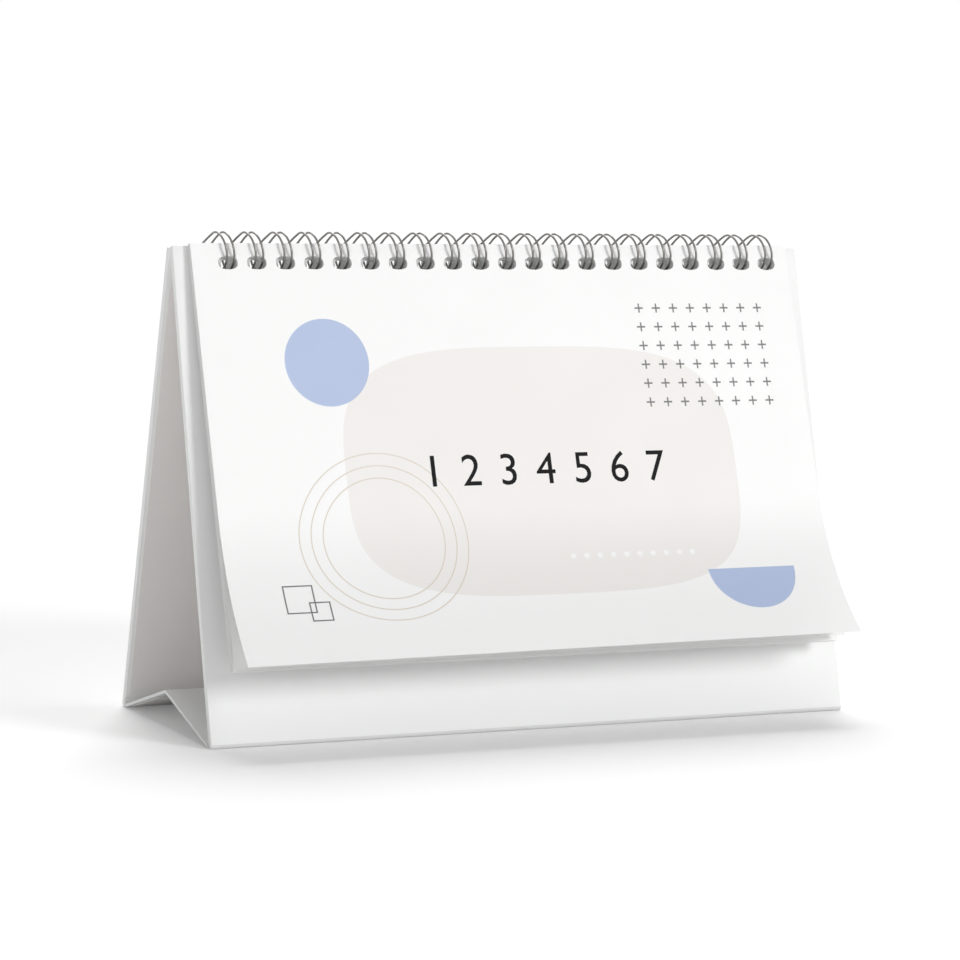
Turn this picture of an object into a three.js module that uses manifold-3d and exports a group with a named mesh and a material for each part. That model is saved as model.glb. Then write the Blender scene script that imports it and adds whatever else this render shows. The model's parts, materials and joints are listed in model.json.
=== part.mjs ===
// A desk calendar on a folding pyramid stand. Two wrapped boards lean together, held at the top by twin-loop
// wire. A base of two thin panels with a raised ridge ties their feet. Punched leaves hang in front.
// Millimetres, X along the width, -Y towards the reader, +Z up. The origin is on the table, under the middle.
import * as THREE from "three";
import { mergeVertices } from "three/addons/utils/BufferGeometryUtils.js";
import Module from "manifold-3d";

const wasm = await Module();
wasm.setup();

// Stand: the wrapped boards.
const BOARD_WIDTH = 196;
const FRONT_BOARD_SLOPE = 138.3; // from its foot to its top edge, along the outer face
const BOARD_THICKNESS = 2;
const BOARD_LEAN = 14.7; // degrees from upright, each board
const BOARD_TOP_ABOVE_RING = 1.25; // the front board's top edge over the ring's centre, along the board
const BACK_BOARD_DROP = 1; // how much lower the back board's top edge lies
const FRONT_BOARD_BEFORE_RING = 1.5; // the ring's centre to the front board's outer face
const TOP_GAP = 0.8; // between the boards' inner faces at the ring's centre

// Base: two panels that meet in a ridge.
const PANEL_THICKNESS = 0.8;
const RIDGE_HEIGHT = 10.5;
const CREASE_HEIGHT = 1.3; // the fold line of a panel over the table, on the board's inner face
const PANEL_BELOW_CREASE = 0.5; // the panel's upper face under its fold line
const PANEL_START = 1.2; // the fold line to the panel's edge
const RIDGE_ZONE = 10; // the strip of a panel beside the ridge that is a piece of its own
const STAND_FOLD = 27.8; // degrees from standing to folded flat

// Lining papers on the inner sides.
const LINER_THICKNESS = 0.2;
const GLUE_LINE = 0.1;
const LINER_BELOW_RING = 11; // the lining starts under the punched row
const LINER_MARGIN = 1.2; // at both ends of a board
const LINER_ABOVE_CREASE = 2;

// Twin-loop wire.
const LOOP_PITCH = 25.4 / 3;
const ROW_END = 5; // at least this much from the last loop's hole centre to the side of a leaf
const ROW_OFFSET = 1.65; // the row of loops lies this much to the right of the middle
const RING_RADIUS = 5.2;
const WIRE_DIAMETER = 0.6;
const LEG_SPACING = 2.2; // between the two wires of a loop where they pass the leaves
const TIP_SPACING = 3; // between the same wires at the loop's tip
const LEG_SEAT = 0.75; // the wires lie this much to the right in their holes
const TIP_OVERLAP = 1.2; // the tips lie outside the bridges between the loops by this much
const LEAF_DRIFT = 2.2; // how far a loop drifts left over the part of the ring that the leaves travel
const LEAF_DRIFT_SPAN = [75, 240]; // ring angles in degrees, from straight down over the front
const TIP_DRIFT_SPAN = [210, 280]; // here it drifts on, to half a pitch, and its two wires part
const TIP_RISE_START = 240;
const TIP_ANGLE = 274;
const ROOT_ANGLE = -78;
const WIRE_SIDES = 5;
const LEG_STEPS = 16;
const TIP_STEPS = 4;

// Punched holes, the same in the boards and the leaves.
const HOLE_WIDTH = 5.7;
const HOLE_HEIGHT = 3.8;
const HOLE_CORNER = [1.2, 0.8];
const HOLE_BELOW_RING = 4.4;

// Leaves.
const LEAF_WIDTH = 187;
const LEAF_HEIGHT = 118.8;
const COVER_HEIGHT = 123.2;
const LEAF_THICKNESS = 0.16;
const LEAF_GAP = 0.11; // between month leaves at the ring
const COVER_GAP = 0.27; // the room that the cover's upper margin needs as it turns over the leaves
const MONTH_LEAVES = 6;
const LEAF_TOP_ABOVE_RING = 1.2;
const PAD_BEFORE_BOARD = 0.25; // the hindmost leaf to the board's outer face, at the ring
const PAD_LEAN = 3.4; // degrees that the hindmost leaf stands off the board
const FAN_STEP = 0.08; // degrees that each leaf opens from the one behind
const MONTH_LEAF_TURN = 5; // degrees that a month leaf lifts off the one behind
const COVER_TURN = 118;

// The lower parts of the cover and the first leaf curl towards the reader. Lifts are those of the lower
// corners, at the left and at the right.
const CURL_START = 76; // down from a leaf's top edge
const COVER_LIFT = [11.5, 13.5];
const FIRST_LEAF_LIFT = [1.5, 4];
const CURL_ROWS = 9;
const CURL_COLUMNS = 4;

const CLEARANCE = 0.3; // between pieces that meet

const rad = THREE.MathUtils.degToRad;
const deg = THREE.MathUtils.radToDeg;
const lean = rad(BOARD_LEAN);

// Places that follow from the sizes. The stand is symmetrical about y = 0 until the last step.
// Offsets along a board's normal are counted from the ring's centre, towards the back of the stand.
const frontInner = BOARD_THICKNESS - FRONT_BOARD_BEFORE_RING;
const backInner = frontInner + TOP_GAP;
const backOuter = backInner + BOARD_THICKNESS;
const ringHeight = (FRONT_BOARD_SLOPE - BOARD_TOP_ABOVE_RING) * Math.cos(lean)
  - FRONT_BOARD_BEFORE_RING * Math.sin(lean);
const ringY = (FRONT_BOARD_BEFORE_RING - backOuter) / (2 * Math.cos(lean));
const backBoardTop = BOARD_TOP_ABOVE_RING - BACK_BOARD_DROP;
const rowLength = Math.min(LEAF_WIDTH, BOARD_WIDTH) - 2 * (ROW_END + ROW_OFFSET);
const loops = Math.floor(rowLength / LOOP_PITCH) + 1;
const holeXs = Array.from({ length: loops }, (_, i) => ROW_OFFSET + (i - (loops - 1) / 2) * LOOP_PITCH);

// Materials.
const paper = (color) => new THREE.MeshStandardMaterial({ color, roughness: 0.75, metalness: 0 });
const wrapWhite = paper(0xf4f6f5);
const linerWhite = paper(0xe9e6e3);
const leafWhite = paper(0xfbfbfa);
const coverWhite = paper(0xffffff);
const wireGrey = new THREE.MeshStandardMaterial({ color: 0x8a8783, roughness: 0.35, metalness: 0.9 });

// A solid from a closed geometry, and back.
function toSolid(geometry) {
  const bare = new THREE.BufferGeometry().setAttribute("position", geometry.getAttribute("position").clone());
  if (geometry.index) bare.setIndex(geometry.index.clone());
  const merged = mergeVertices(bare, 1e-4);
  const vertProperties = new Float32Array(merged.getAttribute("position").array);
  const triVerts = new Uint32Array(merged.index.array);
  return new wasm.Manifold(new wasm.Mesh({ numProp: 3, vertProperties, triVerts }));
}

function toGeometry(solid) {
  const mesh = solid.getMesh();
  const geometry = new THREE.BufferGeometry();
  geometry.setAttribute("position", new THREE.BufferAttribute(new Float32Array(mesh.vertProperties), 3));
  geometry.setIndex(new THREE.BufferAttribute(new Uint32Array(mesh.triVerts), 1));
  geometry.computeVertexNormals();
  return geometry;
}

// The outline of one punched hole: an oval with eight sides, in the plane of the sheet.
function holePath(x) {
  const [cutX, cutZ] = HOLE_CORNER;
  const halfX = HOLE_WIDTH / 2;
  const halfZ = HOLE_HEIGHT / 2;
  const corners = [
    [halfX, halfZ - cutZ], [halfX - cutX, halfZ], [cutX - halfX, halfZ], [-halfX, halfZ - cutZ],
    [-halfX, cutZ - halfZ], [cutX - halfX, -halfZ], [halfX - cutX, -halfZ], [halfX, cutZ - halfZ],
  ];
  return new THREE.Path(corners.map(([a, b]) => new THREE.Vector2(x + a, b - HOLE_BELOW_RING)));
}

// An upright sheet across X, from z = bottom to z = top and from y = near to y = far, punched or plain.
function sheet({ width, top, bottom, near, far, punched }) {
  const outline = new THREE.Shape([
    new THREE.Vector2(-width / 2, bottom), new THREE.Vector2(width / 2, bottom),
    new THREE.Vector2(width / 2, top), new THREE.Vector2(-width / 2, top),
  ]);
  if (punched) outline.holes = holeXs.map(holePath);
  const geometry = new THREE.ExtrudeGeometry(outline, { depth: far - near, bevelEnabled: false });
  const axes = [new THREE.Vector3(1, 0, 0), new THREE.Vector3(0, 0, 1), new THREE.Vector3(0, -1, 0)];
  return geometry.applyMatrix4(new THREE.Matrix4().makeBasis(...axes)).translate(0, far, 0);
}

// A prism across X with the given outline in Y and Z.
function prism(outline, width) {
  const shape = new THREE.Shape(outline.map(([y, z]) => new THREE.Vector2(y, z)));
  const geometry = new THREE.ExtrudeGeometry(shape, { depth: width, bevelEnabled: false });
  const axes = [new THREE.Vector3(0, 1, 0), new THREE.Vector3(0, 0, 1), new THREE.Vector3(1, 0, 0)];
  return geometry.applyMatrix4(new THREE.Matrix4().makeBasis(...axes)).translate(-width / 2, 0, 0);
}

// What lies under the table top, in the frame of a board that leans by an angle about the ring's centre.
function underTable(angle) {
  const size = 4 * BOARD_WIDTH;
  return new THREE.BoxGeometry(size, size, size).translate(0, 0, -ringHeight - size / 2).rotateX(-angle);
}

// Stand boards: punched sheets whose feet are cut level with the table.
function board(near, far, top, angle) {
  const bottom = -FRONT_BOARD_SLOPE - 4 * BOARD_THICKNESS;
  const long = toSolid(sheet({ width: BOARD_WIDTH, top, bottom, near, far, punched: true }));
  return toGeometry(long.subtract(toSolid(underTable(angle))));
}

// Where a board's inner face lies at a height over the table: side is -1 at the front and +1 at the back.
function innerFace(side, height) {
  const offset = side < 0 ? -frontInner : backInner;
  const down = (ringHeight - height + offset * Math.sin(lean)) / Math.cos(lean);
  return ringY + side * (offset * Math.cos(lean) + down * Math.sin(lean));
}

// Base panels, drawn in a frame at the fold line: +y runs up the panel to the ridge, and z is its normal.
function panelFrame(side) {
  const creaseY = innerFace(side, CREASE_HEIGHT);
  const run = Math.abs(creaseY);
  const rise = RIDGE_HEIGHT - CREASE_HEIGHT;
  const reach = Math.hypot(run, rise);
  const slope = Math.atan2(rise, run) + Math.asin(PANEL_BELOW_CREASE / reach);
  return { side, creaseY, slope, length: Math.sqrt(reach ** 2 - PANEL_BELOW_CREASE ** 2) };
}

function panelOutline(frame) {
  const top = -PANEL_BELOW_CREASE;
  const end = frame.length - RIDGE_ZONE;
  return [[PANEL_START, top - PANEL_THICKNESS], [end, top - PANEL_THICKNESS], [end, top], [PANEL_START, top]];
}

// The strip beside the ridge ends on the upright plane through the ridge.
function ridgeOutline(frame) {
  const top = -PANEL_BELOW_CREASE;
  const start = frame.length - RIDGE_ZONE + CLEARANCE;
  const upper = frame.length - CLEARANCE / 2 / Math.cos(frame.slope);
  const lower = upper - PANEL_THICKNESS * Math.tan(frame.slope);
  return [[start, top - PANEL_THICKNESS], [lower, top - PANEL_THICKNESS], [upper, top], [start, top]];
}

function panelLinerOutline(frame) {
  const top = -PANEL_BELOW_CREASE - PANEL_THICKNESS - GLUE_LINE;
  const start = PANEL_START + LINER_ABOVE_CREASE;
  const end = frame.length - RIDGE_ZONE;
  return [[start, top - LINER_THICKNESS], [end, top - LINER_THICKNESS], [end, top], [start, top]];
}

// The crease: wrap paper between the board's foot and the panel's edge, in the panel's frame.
function creaseOutline(frame) {
  const face = Math.PI / 2 - lean - frame.slope; // the board's face seen from the panel's frame
  const level = (height) => {
    const along = (height - CREASE_HEIGHT) / Math.cos(lean);
    const y = along * Math.cos(face) + CLEARANCE * Math.sin(face);
    return [y, along * Math.sin(face) - CLEARANCE * Math.cos(face)];
  };
  const edge = PANEL_START - CLEARANCE;
  const upper = -PANEL_BELOW_CREASE;
  return [level(CLEARANCE), [edge, upper - PANEL_THICKNESS], [edge, upper], level(CREASE_HEIGHT - CLEARANCE)];
}

// Twin-loop wire. A point of the ring: angle from straight down over the front, radius and place along X.
function ringPoint(degrees, radius, x) {
  return new THREE.Vector3(x, -radius * Math.sin(rad(degrees)), -radius * Math.cos(rad(degrees)));
}

// One wire of a loop at a ring angle: side is -1 for its left wire and +1 for its right one.
function legPoint(holeX, side, degrees) {
  const early = THREE.MathUtils.smoothstep(degrees, ...LEAF_DRIFT_SPAN);
  const late = THREE.MathUtils.smoothstep(degrees, ...TIP_DRIFT_SPAN);
  const rising = THREE.MathUtils.smoothstep(degrees, TIP_RISE_START, TIP_ANGLE);
  const drift = LEAF_DRIFT * early + (LOOP_PITCH / 2 - LEAF_DRIFT) * late;
  const half = THREE.MathUtils.lerp(LEG_SPACING, TIP_SPACING, late) / 2;
  return ringPoint(degrees, RING_RADIUS + TIP_OVERLAP * rising, holeX + LEG_SEAT - drift + side * half);
}

function wirePath() {
  const points = [];
  const rootBend = 9; // degrees of the ring that the bend into a bridge takes
  const bendReach = 0.7;
  const legStart = ROOT_ANGLE + rootBend;
  const legStep = (TIP_ANGLE - legStart) / LEG_STEPS;
  const legAngles = Array.from({ length: LEG_STEPS + 1 }, (_, i) => legStart + i * legStep);
  holeXs.forEach((holeX, loop) => {
    const left = legPoint(holeX, -1, legStart).x;
    const right = legPoint(holeX, 1, legStart).x;
    if (loop > 0) points.push(ringPoint(ROOT_ANGLE, RING_RADIUS, left - bendReach));
    legAngles.forEach((angle) => points.push(legPoint(holeX, -1, angle)));
    const centre = legPoint(holeX, 0, TIP_ANGLE).x;
    const radius = RING_RADIUS + TIP_OVERLAP;
    for (let i = 1; i < TIP_STEPS; i++) {
      const turn = (Math.PI * i) / TIP_STEPS;
      const along = deg(((TIP_SPACING / 2) * Math.sin(turn)) / radius);
      points.push(ringPoint(TIP_ANGLE + along, radius, centre - (TIP_SPACING / 2) * Math.cos(turn)));
    }
    [...legAngles].reverse().forEach((angle) => points.push(legPoint(holeX, 1, angle)));
    if (loop < loops - 1) points.push(ringPoint(ROOT_ANGLE, RING_RADIUS, right + bendReach));
  });
  return points;
}

// A closed tube along a list of points, its rings carried along without twist.
function tube(points, radius, sides) {
  const positions = [];
  const index = [];
  const tangentAt = (i) => new THREE.Vector3()
    .subVectors(points[Math.min(i + 1, points.length - 1)], points[Math.max(i - 1, 0)]).normalize();
  let tangent = tangentAt(0);
  let normal = new THREE.Vector3(1, 0, 0).cross(tangent).normalize();
  points.forEach((point, i) => {
    const next = tangentAt(i);
    normal.applyQuaternion(new THREE.Quaternion().setFromUnitVectors(tangent, next));
    tangent = next;
    normal.addScaledVector(tangent, -normal.dot(tangent)).normalize();
    const binormal = new THREE.Vector3().crossVectors(tangent, normal);
    for (let k = 0; k < sides; k++) {
      const turn = (2 * Math.PI * k) / sides;
      const corner = point.clone().addScaledVector(normal, radius * Math.cos(turn));
      corner.addScaledVector(binormal, radius * Math.sin(turn));
      positions.push(...corner.toArray());
    }
  });
  for (let i = 0; i < points.length - 1; i++) {
    for (let k = 0; k < sides; k++) {
      const a = i * sides + k;
      const b = i * sides + ((k + 1) % sides);
      index.push(a, b, b + sides, a, b + sides, a + sides);
    }
  }
  const last = (points.length - 1) * sides;
  for (let k = 1; k < sides - 1; k++) {
    index.push(0, k + 1, k);
    index.push(last, last + k, last + k + 1);
  }
  const geometry = new THREE.BufferGeometry();
  geometry.setAttribute("position", new THREE.Float32BufferAttribute(positions, 3));
  geometry.setIndex(index);
  geometry.computeVertexNormals();
  return geometry;
}

// The least gap between stretches of the wire that aren't neighbours along it.
function leastGap(points, diameter) {
  const fine = [];
  points.slice(1).forEach((point, i) => {
    const parts = Math.ceil(point.distanceTo(points[i]) / (diameter / 3));
    for (let k = 0; k < parts; k++) fine.push(points[i].clone().lerp(point, k / parts));
  });
  const travelled = [0];
  fine.slice(1).forEach((point, i) => travelled.push(travelled[i] + point.distanceTo(fine[i])));
  let least = Infinity;
  fine.forEach((a, i) => {
    for (let j = i + 1; j < fine.length && fine[j].x - a.x < 2 * LOOP_PITCH; j++) {
      if (travelled[j] - travelled[i] < 4 * diameter) continue;
      least = Math.min(least, a.distanceTo(fine[j]));
    }
  });
  return least - diameter;
}

// A punched leaf whose lower part bends along an arc towards the reader, by its own amount at each side.
function curledLeaf(near, far, height, [liftLeft, liftRight]) {
  const top = LEAF_TOP_ABOVE_RING;
  const curlLength = height - CURL_START;
  const curlRows = Array.from({ length: CURL_ROWS + 1 }, (_, i) => CURL_START + (curlLength * i) / CURL_ROWS);
  const rows = [0, ...curlRows];
  const columns = Array.from({ length: CURL_COLUMNS + 1 }, (_, i) => i / CURL_COLUMNS);
  const bent = (share, down, y) => {
    const x = (share - 0.5) * LEAF_WIDTH;
    const radius = curlLength ** 2 / (2 * THREE.MathUtils.lerp(liftLeft, liftRight, share));
    const angle = Math.max(0, down - CURL_START) / radius;
    const flat = Math.min(down, CURL_START);
    const out = radius * (1 - Math.cos(angle)) - y * Math.cos(angle);
    return [x, -out, top - flat - radius * Math.sin(angle) - y * Math.sin(angle)];
  };
  const positions = [];
  const index = [];
  const at = (face, row, column) => (face * rows.length + row) * columns.length + column;
  [near, far].forEach((y) => rows.forEach((down) => {
    columns.forEach((share) => positions.push(...bent(share, down, y)));
  }));
  const quad = (a, b, c, d) => index.push(a, b, c, a, c, d);
  const right = columns.length - 1;
  const foot = rows.length - 1;
  for (let r = 0; r < foot; r++) {
    for (let c = 0; c < right; c++) {
      quad(at(0, r, c), at(0, r + 1, c), at(0, r + 1, c + 1), at(0, r, c + 1));
      quad(at(1, r, c), at(1, r, c + 1), at(1, r + 1, c + 1), at(1, r + 1, c));
    }
    quad(at(0, r, 0), at(1, r, 0), at(1, r + 1, 0), at(0, r + 1, 0));
    quad(at(0, r, right), at(0, r + 1, right), at(1, r + 1, right), at(1, r, right));
  }
  for (let c = 0; c < right; c++) {
    quad(at(0, 0, c), at(0, 0, c + 1), at(1, 0, c + 1), at(1, 0, c));
    quad(at(0, foot, c), at(1, foot, c), at(1, foot, c + 1), at(0, foot, c + 1));
  }
  const plain = new THREE.BufferGeometry();
  plain.setAttribute("position", new THREE.Float32BufferAttribute(positions, 3));
  plain.setIndex(index);
  const punch = 2;
  const axes = [new THREE.Vector3(1, 0, 0), new THREE.Vector3(0, 0, 1), new THREE.Vector3(0, -1, 0)];
  const drilled = holeXs.reduce((solid, x) => {
    const pin = new THREE.ExtrudeGeometry(new THREE.Shape(holePath(x).getPoints()), {
      depth: far - near + 2 * punch, bevelEnabled: false,
    });
    pin.applyMatrix4(new THREE.Matrix4().makeBasis(...axes)).translate(0, far + punch, 0);
    return solid.subtract(toSolid(pin));
  }, toSolid(plain));
  return toGeometry(drilled);
}

// The scene: everything that turns about the wire is drawn from the ring's centre.
const calendar = new THREE.Group();
const ring = new THREE.Group();
ring.position.set(0, ringY, ringHeight);
calendar.add(ring);

function add(parent, name, geometry, material, tilt = 0) {
  const mesh = new THREE.Mesh(geometry, material);
  mesh.name = name;
  mesh.rotation.x = tilt;
  parent.add(mesh);
  return mesh;
}

const frontBoard = board(-FRONT_BOARD_BEFORE_RING, frontInner, BOARD_TOP_ABOVE_RING, -lean);
const backBoard = board(backInner, backOuter, backBoardTop, lean);
add(ring, "front_board", frontBoard, wrapWhite, -lean);
add(ring, "back_board", backBoard, wrapWhite, lean);

const linerBottom = -(ringHeight - CREASE_HEIGHT) / Math.cos(lean) + LINER_ABOVE_CREASE;
const linerSheet = { width: BOARD_WIDTH - 2 * LINER_MARGIN, top: -LINER_BELOW_RING, bottom: linerBottom };
const liner = (near, far) => sheet({ ...linerSheet, near, far, punched: false });
const frontLinerNear = frontInner + GLUE_LINE;
const backLinerFar = backInner - GLUE_LINE;
add(ring, "front_board_liner", liner(frontLinerNear, frontLinerNear + LINER_THICKNESS), linerWhite, -lean);
add(ring, "back_board_liner", liner(backLinerFar - LINER_THICKNESS, backLinerFar), linerWhite, lean);

const panels = [["front", panelFrame(-1)], ["rear", panelFrame(1)]];
panels.forEach(([word, frame]) => {
  const group = new THREE.Group();
  group.position.set(0, frame.creaseY, CREASE_HEIGHT);
  group.rotation.set(frame.slope, 0, frame.side > 0 ? Math.PI : 0, "ZXY");
  calendar.add(group);
  add(group, `base_${word}_panel`, prism(panelOutline(frame), BOARD_WIDTH), wrapWhite);
  add(group, `base_${word}_ridge`, prism(ridgeOutline(frame), BOARD_WIDTH), wrapWhite);
  add(group, `base_${word}_liner`, prism(panelLinerOutline(frame), linerSheet.width), linerWhite);
  add(group, `${word}_crease`, prism(creaseOutline(frame), BOARD_WIDTH), wrapWhite);
});

const path = wirePath();
add(ring, "wire_binding", tube(path, WIRE_DIAMETER / 2, WIRE_SIDES), wireGrey);

const leafBack = -FRONT_BOARD_BEFORE_RING - PAD_BEFORE_BOARD; // the hindmost leaf's rear face
for (let k = 0; k < MONTH_LEAVES; k++) {
  const far = leafBack - k * (LEAF_THICKNESS + LEAF_GAP);
  const near = far - LEAF_THICKNESS;
  const bottom = LEAF_TOP_ABOVE_RING - LEAF_HEIGHT;
  const flat = { width: LEAF_WIDTH, top: LEAF_TOP_ABOVE_RING, bottom, near, far, punched: true };
  const number = MONTH_LEAVES - k;
  const geometry = number === 1 ? curledLeaf(near, far, LEAF_HEIGHT, FIRST_LEAF_LIFT) : sheet(flat);
  add(ring, `month_leaf_${number}`, geometry, leafWhite, -lean - rad(PAD_LEAN + k * FAN_STEP));
}
const coverFar = leafBack - MONTH_LEAVES * (LEAF_THICKNESS + LEAF_GAP) + LEAF_GAP - COVER_GAP;
const cover = curledLeaf(coverFar - LEAF_THICKNESS, coverFar, COVER_HEIGHT, COVER_LIFT);
add(ring, "cover_leaf", cover, coverWhite, -lean - rad(PAD_LEAN + MONTH_LEAVES * FAN_STEP));

// The origin goes under the middle of the whole calendar, cover included.
const box = new THREE.Box3().setFromObject(calendar, true);
calendar.position.y = -(box.min.y + box.max.y) / 2;
const shift = calendar.position.y;

// Measures for the record: places of the joints, the turn of each panel and the wire's least gap to itself.
const panelTurn = panels.map(([, frame]) => 90 - BOARD_LEAN - deg(frame.slope));
console.log("box " + box.getSize(new THREE.Vector3()).toArray().map((v) => v.toFixed(2)).join(" x "));
console.log("ring centre y " + (ringY + shift).toFixed(4) + " z " + ringHeight.toFixed(4));
const creases = panels.map(([, frame]) => (frame.creaseY + shift).toFixed(4));
console.log("crease y " + creases.join(" and ") + " z " + CREASE_HEIGHT);
console.log("panel turn " + panelTurn.map((v) => v.toFixed(3)).join(" and ") + " for a fold of " + STAND_FOLD
  + ", ratios " + panelTurn.map((v) => (v / STAND_FOLD).toFixed(4)).join(" and "));
console.log("feet y " + [-1, 1].map((s) => (innerFace(s, 0) + shift).toFixed(3)).join(" and "));
console.log("leaf turns " + MONTH_LEAF_TURN + " and " + COVER_TURN);
console.log("least gap of the wire to itself " + leastGap(path, WIRE_DIAMETER).toFixed(3));

export default calendar;
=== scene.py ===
"""Looks of a pyramid desk calendar, built around its packed parts. Lengths are in metres."""
import json
import math

import bmesh
import bpy
from mathutils import Matrix, Vector


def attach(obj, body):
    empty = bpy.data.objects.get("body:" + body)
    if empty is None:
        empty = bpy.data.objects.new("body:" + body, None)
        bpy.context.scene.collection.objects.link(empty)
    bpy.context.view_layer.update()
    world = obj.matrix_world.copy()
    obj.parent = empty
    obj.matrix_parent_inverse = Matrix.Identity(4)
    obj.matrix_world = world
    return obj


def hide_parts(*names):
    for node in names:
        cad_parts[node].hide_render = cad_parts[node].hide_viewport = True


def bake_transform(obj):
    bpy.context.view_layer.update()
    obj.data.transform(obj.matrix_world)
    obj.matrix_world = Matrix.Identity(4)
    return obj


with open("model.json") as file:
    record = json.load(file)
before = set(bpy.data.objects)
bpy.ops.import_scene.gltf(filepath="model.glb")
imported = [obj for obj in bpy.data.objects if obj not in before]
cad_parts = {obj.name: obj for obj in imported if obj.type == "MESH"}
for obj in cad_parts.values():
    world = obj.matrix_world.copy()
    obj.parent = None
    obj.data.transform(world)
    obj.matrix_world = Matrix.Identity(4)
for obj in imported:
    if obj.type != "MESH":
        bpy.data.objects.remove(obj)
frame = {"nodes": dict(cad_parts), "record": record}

bl_info = {
    "name": "Pyramid desk calendar",
    "version": (1, 0, 0),
    "blender": (4, 5, 0),
    "location": "3D View > Sidebar > Calendar",
    "description": "Builds the boards, base, leaves, print and binding wire of a pyramid desk calendar",
    "category": "Object",
}

MM = 0.001
JOINTS = {joint["name"]: joint for joint in frame["record"]["behaviour"]["joints"]}
RING_CENTRE = Vector(JOINTS["stand_fold"]["pos_m"])
FRONT_FOLD = Vector(JOINTS["base_front_fold"]["pos_m"])
REAR_FOLD = Vector(JOINTS["base_rear_fold"]["pos_m"])
STAND_MIDDLE = (FRONT_FOLD.y + REAR_FOLD.y) / 2
MONTH_LEAVES = sum(name.startswith("month_leaf_") for name in frame["nodes"])


# Sizes and colours that a user would change
def length(name, description, millimetres):
    """A length in the sidebar. Its default is given in millimetres."""
    return bpy.props.FloatProperty(
        name=name, description=description, default=millimetres * MM, unit="LENGTH", precision=5)


def angle(name, description, degrees):
    """An angle in the sidebar. Its default is given in degrees."""
    return bpy.props.FloatProperty(
        name=name, description=description, default=math.radians(degrees), unit="ROTATION")


def colour(name, description, *linear):
    """A colour in the sidebar."""
    return bpy.props.FloatVectorProperty(
        name=name, description=description, default=linear, size=3, min=0, max=1, subtype="COLOR")


class StandSettings(bpy.types.PropertyGroup):
    """Stand"""
    width: length("Width", "Length of the boards and the base along the table", 196)
    lean: angle("Lean", "Lean of each board from upright", 14.7)
    thickness: length("Board thickness", "Wrapped board", 2)
    front_near: length("Ring to front face", "From the ring's centre to the front board's outer face", 1.5)
    top_gap: length("Gap at the top", "Between the boards' inner faces at the ring's centre", 0.8)
    front_top: length("Front board's top", "Over the ring's centre, along the board", 1.25)
    back_top: length("Back board's top", "Over the ring's centre, along the board", 0.25)
    edge: length("Edge rounding", "Rounding of the wrapped edges", 0.35)
    foot: length("Foot rounding", "Rounding of the outer edge at a board's foot", 1.3)
    panel: length("Panel thickness", "Base panel with its wrapping", 0.8)
    panel_drop: length("Panel below fold", "From the fold line to the panel's upper face", 0.5)
    ridge: length("Ridge height", "The base's ridge over the table", 10.5)


class LeafSettings(bpy.types.PropertyGroup):
    """Leaves"""
    width: length("Width", "Width of a leaf", 187)
    height: length("Month leaf height", "From the upper to the lower edge", 118.8)
    cover_height: length("Cover height", "From the upper to the lower edge", 123.2)
    thickness: length("Thickness", "One leaf", 0.16)
    gap: length("Gap", "Between month leaves at the ring", 0.11)
    cover_gap: length("Cover gap", "Between the cover and the first month leaf at the ring", 0.27)
    before_board: length("Board gap", "From the hindmost leaf to the front board, at the ring", 0.25)
    top: length("Upper margin", "Upper edge over the ring's centre", 1.2)
    pad_lean: angle("Pad lean", "Hindmost leaf against the board", 3.4)
    fan: angle("Fan", "Each leaf against the one behind", 0.08)
    curl_start: length("Curl start", "Where the curl begins, down from the upper edge", 76)
    cover_lift_left: length("Cover lift left", "How far the cover's lower left corner curls up", 11.5)
    cover_lift_right: length("Cover lift right", "How far the cover's lower right corner curls up", 13.5)
    leaf_lift_left: length("Leaf lift left", "The same for the first month leaf", 1.5)
    leaf_lift_right: length("Leaf lift right", "The same for the first month leaf", 4)


class WireSettings(bpy.types.PropertyGroup):
    """Twin-loop wire and its holes"""
    pitch: length("Pitch", "Loop to loop", 25.4 / 3)
    loops: bpy.props.IntProperty(name="Loops", description="Number of double loops", default=21, min=2)
    row_offset: length("Row offset", "How far the row lies to the right of the middle", 1.65)
    radius: length("Ring radius", "To the wire's centre line", 5.2)
    gauge: length("Wire diameter", "Coated wire", 0.6)
    leg_spacing: length("Leg spacing", "Between the two wires of a loop at the leaves", 2.2)
    tip_spacing: length("Tip spacing", "Between the same wires at the loop's tip", 3)
    seat: length("Seat", "How far to the right the wires lie in their holes", 0.75)
    drift: length("Drift", "How far a loop leans left where the leaves travel", 1.7)
    tip_lift: length("Tip lift", "The tips lie this far outside the bridges", 1.2)
    hole_width: length("Hole width", "Punched hole", 5.7)
    hole_height: length("Hole height", "Punched hole", 3.8)
    hole_below: length("Hole below ring", "Hole centres under the ring's centre", 4.4)
    board_hole: length("Board hole width", "Hole in a board, round the seated wires", 3.7)


class PrintSettings(bpy.types.PropertyGroup):
    """Paper, print and wire colours"""
    paper: colour("Leaf paper", "Unprinted leaf", 0.95, 0.95, 0.945)
    wrap: colour("Board wrapping", "White wrapping paper", 0.935, 0.945, 0.935)
    # Painted shade: the inner sides' paper is a little darker and warmer than the wrapping, for the shade
    # inside the stand.
    lining_with_painted_shade: colour("Lining", "Paper on the inner sides", 0.92, 0.895, 0.88)
    field: colour("Pale field", "Large printed field", 0.871, 0.847, 0.828)
    blue: colour("Blue", "Printed discs", 0.44, 0.53, 0.75)
    tan: colour("Tan", "Thin printed rings", 0.7, 0.63, 0.54)
    dark: colour("Dark grey", "Small printed marks", 0.12, 0.12, 0.12)
    black: colour("Black", "Numerals", 0.008, 0.008, 0.009)
    wire: colour("Wire", "Satin coating", 0.2, 0.192, 0.185)


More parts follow.
